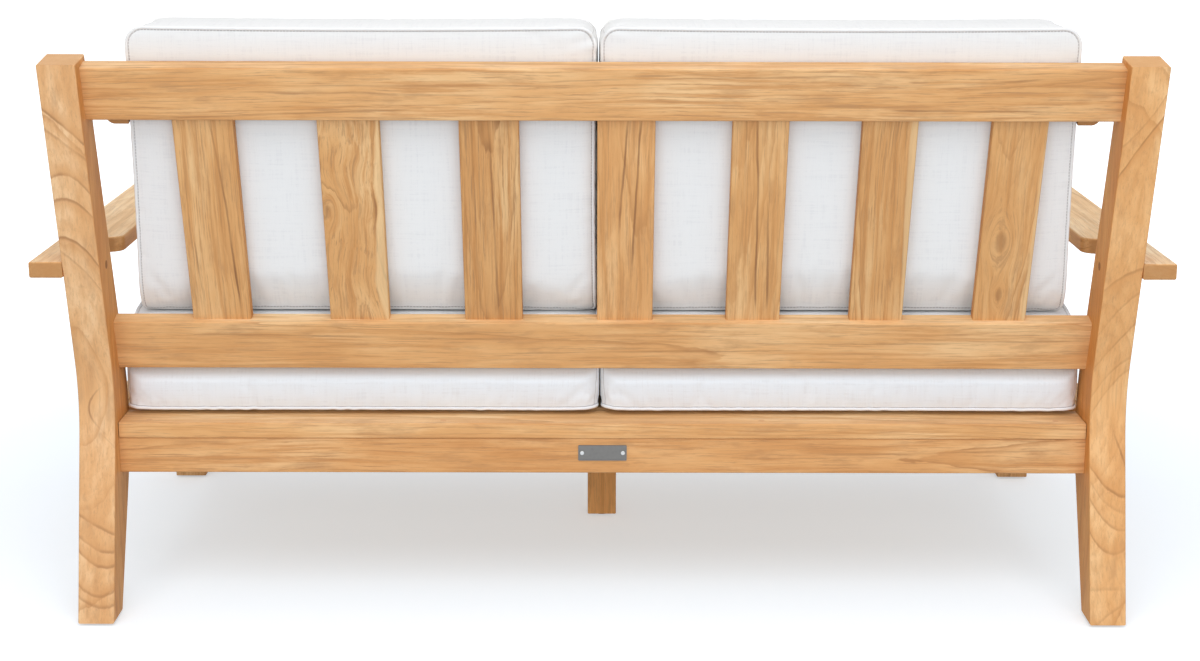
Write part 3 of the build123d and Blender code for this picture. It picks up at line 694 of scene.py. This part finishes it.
    def gathered(self, grid, distances, runs, strengths, reach):
        """Small puckers square to the seams: ripples along a seam times exp(-distance / reach)."""
        rows, columns = np.gradient(grid, axis=(0, 1))
        outward = unit(np.cross(columns, rows))
        depth = 0
        for distance, run, strength in zip(distances, runs, strengths):
            ripple = ripples(run + gather_slant * distance, self.rng)
            fade = np.exp(-distance / reach) * (distance < gather_end * reach)
            depth = depth + strength * ripple * fade
        return grid + outward * np.asarray(depth)[..., None]

    def sew(self, points, cover_finish, piping_finish):
        """The finished cushion: a finer cover with gathers, seam marks of stitches and painted
        crease shade, weave, and piping.
        """
        count = self.columns * self.rows
        shape = (self.rows, self.columns, 3)
        resting = points[:count].reshape(shape)
        crowned = points[count:2 * count].reshape(shape)
        boxing = points[2 * count:].reshape(self.layers - 1, -1, 3)
        boxing = np.concatenate((border(resting)[None], boxing, border(crowned)[None]))
        resting, crowned = (refine(refine(part, 0), 1) for part in (resting, crowned))
        boxing = refine(refine(boxing, 0), 1, closed=True)
        rest_grid = refine(refine(np.stack(self.sheet, -1), 0), 1)
        a, b = rest_grid[..., 0], rest_grid[..., 1]
        width, height = a.max(), b.max()
        distances = (b, width - a, height - b, a)
        runs = (a, b, a, b)
        resting = self.gathered(resting, distances, runs, self.gathers, gather_reach[0])
        crowned = self.gathered(crowned, distances, runs, self.gathers, gather_reach[1])

        rows, columns = a.shape
        layers = len(boxing) - 1
        resting[..., 2] = np.maximum(resting[..., 2], soft_gap / 2)
        edge = border(rest_grid)
        steps = np.linalg.norm(np.roll(edge, -1, 0) - edge, axis=1)
        run = np.concatenate(((0,), np.cumsum(steps)[:-1]))
        total = steps.sum()
        depth = self.seams[1] - self.seams[0]
        up = np.linspace(0, depth, layers + 1)[:, None] + np.zeros_like(run)
        around = run[None] + np.zeros_like(up)
        runs = (around, around)
        boxing = self.gathered(boxing, (up, depth - up), runs, self.gathers[4:], gather_reach[2])
        numbers = self.number_points(columns, rows, layers)
        parts = (resting, crowned, boxing[1:-1])
        points = np.concatenate([part.reshape(-1, 3) for part in parts])
        faces = self.faces(numbers)
        cover = mesh_object(self.name + "_cover", self.world(points), faces, cover_finish)
        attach(cover, self.name)
        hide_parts(self.name)

        corner = np.where(b < height / 2, *self.corners)
        from_a = np.abs(a - width / 2) - width / 2 + corner
        from_b = np.abs(b - height / 2) - height / 2 + corner
        outside = np.hypot(np.maximum(from_a, 0), np.maximum(from_b, 0))
        seam = corner - outside - np.minimum(np.maximum(from_a, from_b), 0)
        seam_run = np.where(from_a > from_b, b, a)
        edge_a = edge[:, 0]
        upright = np.minimum(np.abs(edge_a - corner_seam), np.abs(width - edge_a - corner_seam))
        boxing_seam = np.minimum(np.minimum(up, depth - up), upright + stitch_and_crease_shade_line)[1:-1]
        for name, panel, strip in (
            ("seam_distance", seam, boxing_seam), ("seam_run", seam_run, around[1:-1])
        ):
            values = np.concatenate((panel.ravel(), panel.ravel(), strip.ravel()))
            attribute = cover.data.attributes.new(name, "FLOAT", "POINT")
            attribute.data.foreach_set("value", values.astype(np.float32))
        self.lay_weave(cover, numbers, (a, b), (around, up), total)

        trodden = 1 - foot_share * np.exp(-edge[:, 1] / foot_press) if self.roll else 1.0
        for name, panel, share in (("resting", resting, trodden), ("crowned", crowned, 1.0)):
            self.pipe(name, panel, piping_radius * share, piping_finish)

    def lay_weave(self, cover, numbers, sheet, strip, total):
        """A map of the cloth in metres: the two panels side by side and the strip above them."""
        a, b = sheet
        around, up = strip
        gap = 0.05
        flat = np.stack((a, b), -1)
        shifted = flat + (a.max() + gap, 0)
        above = b.max() + gap
        wide = np.hstack((around, np.full((len(around), 1), total)))
        tall = np.hstack((up, up[:, :1])) + above
        strip_map = np.stack((wide, tall), -1)
        maps = []
        for grid, flip in ((flat, True), (shifted, False), (strip_map, False)):
            face_map = np.stack(cells(grid), 2).reshape(-1, 4, 2)
            maps.append(face_map[:, ::-1] if flip != (self.side < 0) else face_map)
        layer = cover.data.uv_layers.new(name="cloth")
        layer.uv.foreach_set("vector", np.concatenate(maps).astype(np.float32).ravel())

    def pipe(self, name, panel, radius, finish):
        """A thin covered cord along a seam: a circle carried round the panel's edge, square to it,
        whose radius may change along the way."""
        path = self.world(border(panel))
        inward = unit(self.world(border(panel[1:-1, 1:-1]).mean(0)) - path)
        tangent = unit(np.roll(path, -1, 0) - np.roll(path, 1, 0))
        side = unit(np.cross(tangent, inward))
        out = np.cross(side, tangent)
        turn = np.linspace(0, 2 * math.pi, piping_sides + 1)[None, :-1, None]
        circle = np.cos(turn) * out[:, None] + np.sin(turn) * side[:, None]
        points = path[:, None] + np.reshape(radius, (-1, 1, 1)) * circle
        numbers = np.arange(len(path) * piping_sides).reshape(-1, piping_sides)
        numbers = np.vstack((numbers, numbers[:1]))
        numbers = np.hstack((numbers, numbers[:, :1]))
        cord = mesh_object(f"{self.name}_{name}_piping", points, quads(numbers), finish)
        mesh = cord.data
        normal = np.array(mesh.polygons[0].normal)
        middle = points[0].mean(0)
        if normal @ (np.array(mesh.polygons[0].center) - middle) < 0:
            mesh.flip_normals()
        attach(cord, self.name)


def fill(covers):
    """Blow all the slack covers up together as cloth that is held along its seams, and give back
    where their points end."""
    scene = bpy.context.scene
    made = []
    for cushion, points in covers:
        numbers = cushion.number_points(cushion.columns, cushion.rows, cushion.layers)
        slack = mesh_object(cushion.name + "_slack", points, cushion.faces(numbers))
        seams = np.concatenate((numbers[2][0], numbers[2][-1])).tolist()
        slack.vertex_groups.new(name="seams").add(seams, 1.0, "REPLACE")
        settings = slack.modifiers.new("fill", "CLOTH").settings
        settings.quality = 6
        settings.mass = 0.3
        settings.vertex_group_mass = "seams"
        settings.use_pressure = True
        settings.uniform_pressure_force = fill_pressure
        settings.shrink_min = -cloth_ease
        settings.tension_stiffness = 40
        settings.compression_stiffness = 20
        settings.shear_stiffness = 10
        settings.bending_stiffness = 0.5
        settings.effector_weights.gravity = 0
        slack.modifiers["fill"].point_cache.frame_end = fill_frames
        made.append(slack)
    for number in range(1, fill_frames + 1):
        scene.frame_set(number)
    graph = bpy.context.evaluated_depsgraph_get()
    filled = [places(slack.evaluated_get(graph).data) for slack in made]
    scene.frame_set(1)
    for slack in made:
        bpy.data.objects.remove(slack)
    return filled


def furthest(name, direction):
    """How far a CAD piece reaches along a direction."""
    return (places(nodes[name].data) @ np.array(direction)).max()


# The plane of the rails' and slats' front faces, which the cushions lean against, and its foot
back_front = -furthest("lower_back_rail", -BEHIND_THE_BACK) - soft_gap
rail_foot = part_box("lower_back_rail")[0].z


def make_cushions():
    """The two seat cushions and the two back cushions, each in its CAD solid's place."""
    cushions = []
    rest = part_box("seat_cushion_left")[1].z - seat_crown + pressed_rise
    for number, (word, side) in enumerate((("left", 1), ("right", -1))):
        seat, back = f"seat_cushion_{word}", f"back_cushion_{word}"
        low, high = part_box(back)
        plane = furthest(back, BEHIND_THE_BACK)
        rear = (plane - BEHIND_THE_BACK.z * rest) / BEHIND_THE_BACK.y
        height = (high.z - rest) / UP_THE_BACK.z + back_rise
        inner = half_gap + side * back_meeting
        width = max(high.x, -low.x) + back_spread - inner
        cushions.append(Cushion(
            back, side, (side * inner, rear, rest), (SIDEWAYS, UP_THE_BACK, -REARWARD),
            room=(width, height, back_boxing + back_crown), margins=(0.0038, 0.0008),
            seams=(0.003, 0.143), reach=back_crown, corners=(0.008, 0.025),
            gathers=(0.001, 0.001, 0.001, 0.003, 0.001, 0.001), seed=8 + number, taper=0.026,
            roll=0.032,
        ))
        low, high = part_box(seat)
        inner = half_gap + side * seat_meeting
        width = max(high.x, -low.x) + seat_spread - inner
        behind = rear - low.y
        cushions.append(Cushion(
            seat, side, (side * inner, low.y, low.z), (SIDEWAYS, REARWARD, UPWARD),
            room=(width, high.y - low.y + seat_rear_room, high.z - low.z), margins=(0.0030, 0.0),
            seams=(0.0085, 0.1592), reach=seat_crown, corners=(0.028, 0.021),
            gathers=(0.001, 0.001, 0.001, 0.001, 0.0006, 0.0006), seed=5 + number, lean=0.0125,
            squeeze=0.020, drop=0.012, pressed=(behind - back_boxing - back_crown, behind - 0.016),
        ))
    slack = [cushion.slack_cover() for cushion in cushions]
    world = [cushion.world(points) for cushion, points in zip(cushions, slack)]
    filled = fill(list(zip(cushions, world)))
    finishes = {}
    # The seat covers' cooler white than the back covers' is painted light: it offsets the warmer
    # light that the wood throws on the seat
    for kind, colour in (("seat", tint(234, 236, 237)), ("back", tint(238, 236, 232))):
        cover_finish = linen(kind + "_cover", colour, True)
        finishes[kind] = (cover_finish, linen(kind + "_piping", colour, False))
    for cushion, before, after in zip(cushions, slack, filled):
        cover_finish, piping_finish = finishes[cushion.name.split("_")[0]]
        cushion.sew(cushion.settle(before, cushion.local(after)), cover_finish, piping_finish)


def linen(name, colour, sewn):
    """Off-white outdoor linen: warp and weft threads that vary along their length, and beside each
    seam a fine line of stitches over painted crease shade. Threads are noise with many steps to a
    metre across them and few along them. Piping has only a fine grain."""
    finish = Finish(name)
    if sewn:
        x, y, _ = finish.split(finish.node("TexCoord", {}, {}, 2))

        def threads(across, along, shifts, detail):
            """Warp and weft threads of one thickness."""
            warp_place = finish.join(x * across, y * along, shifts[0])
            weft_place = finish.join(x * along, y * across, shifts[1])
            return [finish.noise(place, 1.0, detail, 0.6) for place in (warp_place, weft_place)]

        warp, weft = threads(900.0, 25.0, (0.0, 7.0), 2.0)
        broad_warp, broad_weft = threads(240.0, 14.0, (3.0, 5.0), 3.0)
        slub = finish.ease(warp, 0.55, 0.8) + finish.ease(weft, 0.55, 0.8)
        slub = slub + finish.ease(broad_warp + broad_weft, 1.0, 1.3)
        seam = finish.node("Attribute", {"attribute_name": "seam_distance"}, {}, 2)
        along = finish.node("Attribute", {"attribute_name": "seam_run"}, {}, 2)
        from_line = along.math("ABSOLUTE", seam - stitch_and_crease_shade_line)
        line = 1 - finish.ease(from_line, 0.0004, 0.0011)
        dash = along / stitch_pitch
        dash = finish.ease(along.math("ABSOLUTE", along.math("FRACT", dash) - 0.5), 0.10, 0.16)
        colour = finish.blend(colour, tint(216, 214, 213), slub * 0.3)
        # The line beside each seam is painted crease shade at a steady quarter strength, with
        # stitch dashes on top
        colour = finish.blend(colour, tint(160, 150, 148), line * (0.25 + 0.4 * dash))
        relief = warp * 0.5 + weft * 0.5 - line * 1.5
    else:
        place = finish.node("TexCoord", {}, {}, 3)
        relief = finish.noise(place, 1400.0, 2.0, 0.6)
    return finish.surface(
        Base_Color=colour, Roughness=0.92, Normal=finish.bump(relief, 0.0003, 0.35),
        Sheen_Weight=0.12, Specular_IOR_Level=0.2,
    )


# Studio: the floor's half width, its paint, how much it glows, and between which distances the
# glow grows to white
floor_size = 40.0
floor_colour = (211, 220, 227)
floor_glow = 0.45
floor_fade = (1.0, 2.6)
# The light of the surroundings, the colour of all light, and each lamp's place, aim, width, height
# and power
world_light = 0.57
lamp_colour = (0.985, 1.01, 1.055)
lamps = (
    ("top_lamp", (0.0, 0.3, 2.9), (0.0, 0.0, 0.3), 3.4, 2.4, 10.8),
    ("high_rear_lamp", (0.0, 2.6, 3.2), (0.0, 0.0, 0.4), 4.0, 2.0, 52.0),
    ("low_rear_lamp", (0.0, 3.9, 1.6), (0.0, 0.0, 0.4), 5.0, 1.2, 43.5),
)


def seen_rays(finish):
    """1 for rays from the camera, a reflection or a clear piece, 0 for light on its way."""
    path = finish.node("LightPath", {}, {})
    rays = path.socket.node.outputs
    return path + Wire(finish, rays["Is Glossy Ray"]) + Wire(finish, rays["Is Transmission Ray"])


def studio():
    """A white floor that keeps the object's shadow, white surroundings and three broad lamps."""
    corners = [(x * floor_size, y * floor_size, 0) for x, y in ((-1, -1), (1, -1), (1, 1), (-1, 1))]
    mesh = bpy.data.meshes.new("studio_floor")
    mesh.from_pydata(corners, [], [(0, 1, 2, 3)])
    floor = add_object("studio_floor", mesh)
    finish = Finish("studio_floor_paint")
    seen = seen_rays(finish)
    paint = finish.node("BsdfDiffuse", {}, {"Color": tint(*floor_colour)})
    place = finish.node("TexCoord", {}, {}, 3)
    away = finish.node("VectorMath", {"operation": "LENGTH"}, {0: place}, 1)
    whiter = finish.ease(away, *floor_fade) * (1 - floor_glow)
    glow = finish.node("Emission", {}, {"Strength": seen * (floor_glow + whiter)})
    both = finish.node("AddShader", {}, {0: paint, 1: glow})
    finish.node("OutputMaterial", {}, {"Surface": both})
    mesh.materials.append(finish.material)

    world = bpy.data.worlds.new("white_studio")
    bpy.context.scene.world = world
    world.use_nodes = True
    sky = Finish("white_studio", world.node_tree)
    seen = seen_rays(sky)
    strength = world_light + (1 - world_light) * seen
    colour = sky.blend((*lamp_colour, 1.0), (1.0, 1.0, 1.0, 1.0), seen)
    shader = sky.node("Background", {}, {"Color": colour, "Strength": strength})
    sky.node("OutputWorld", {}, {"Surface": shader})

    for name, place, aim, width, height, power in lamps:
        lamp = bpy.data.lights.new(name, "AREA")
        lamp.shape = "RECTANGLE"
        lamp.size = width
        lamp.size_y = height
        lamp.energy = power
        lamp.color = lamp_colour
        made = add_object(name, lamp)
        made.location = place
        made.rotation_euler = (Vector(aim) - Vector(place)).to_track_quat("-Z", "Y").to_euler()


# Camera: behind the seat, a little above it, as in the photograph
def make_camera():
    """A 60 mm lens on a 36 mm frame, placed from a rear foot, in metres and degrees."""
    foot = centre_of("rear_glide_left")
    behind_foot, height, sideways = 2.705, 1.0967, 0.0062
    pitch_down, yaw, roll = 13.84, 0.048, 0.116
    data = bpy.data.cameras.new("camera")
    data.lens = 60.0
    data.sensor_width = 36.0
    data.sensor_fit = "HORIZONTAL"
    camera = add_object("camera", data)
    camera.location = (sideways, foot.y + behind_foot, height)
    turn = Matrix.Rotation(math.radians(180 - yaw), 4, "Z")
    tip = Matrix.Rotation(math.radians(90 - pitch_down), 4, "X")
    spin = Matrix.Rotation(math.radians(roll), 4, "Z")
    camera.rotation_euler = (turn @ tip @ spin).to_euler()
    bpy.context.scene.camera = camera


finish_wood()
finish_fittings()
make_cushions()
studio()
make_camera()
bpy.context.scene.view_settings.view_transform = "Standard"
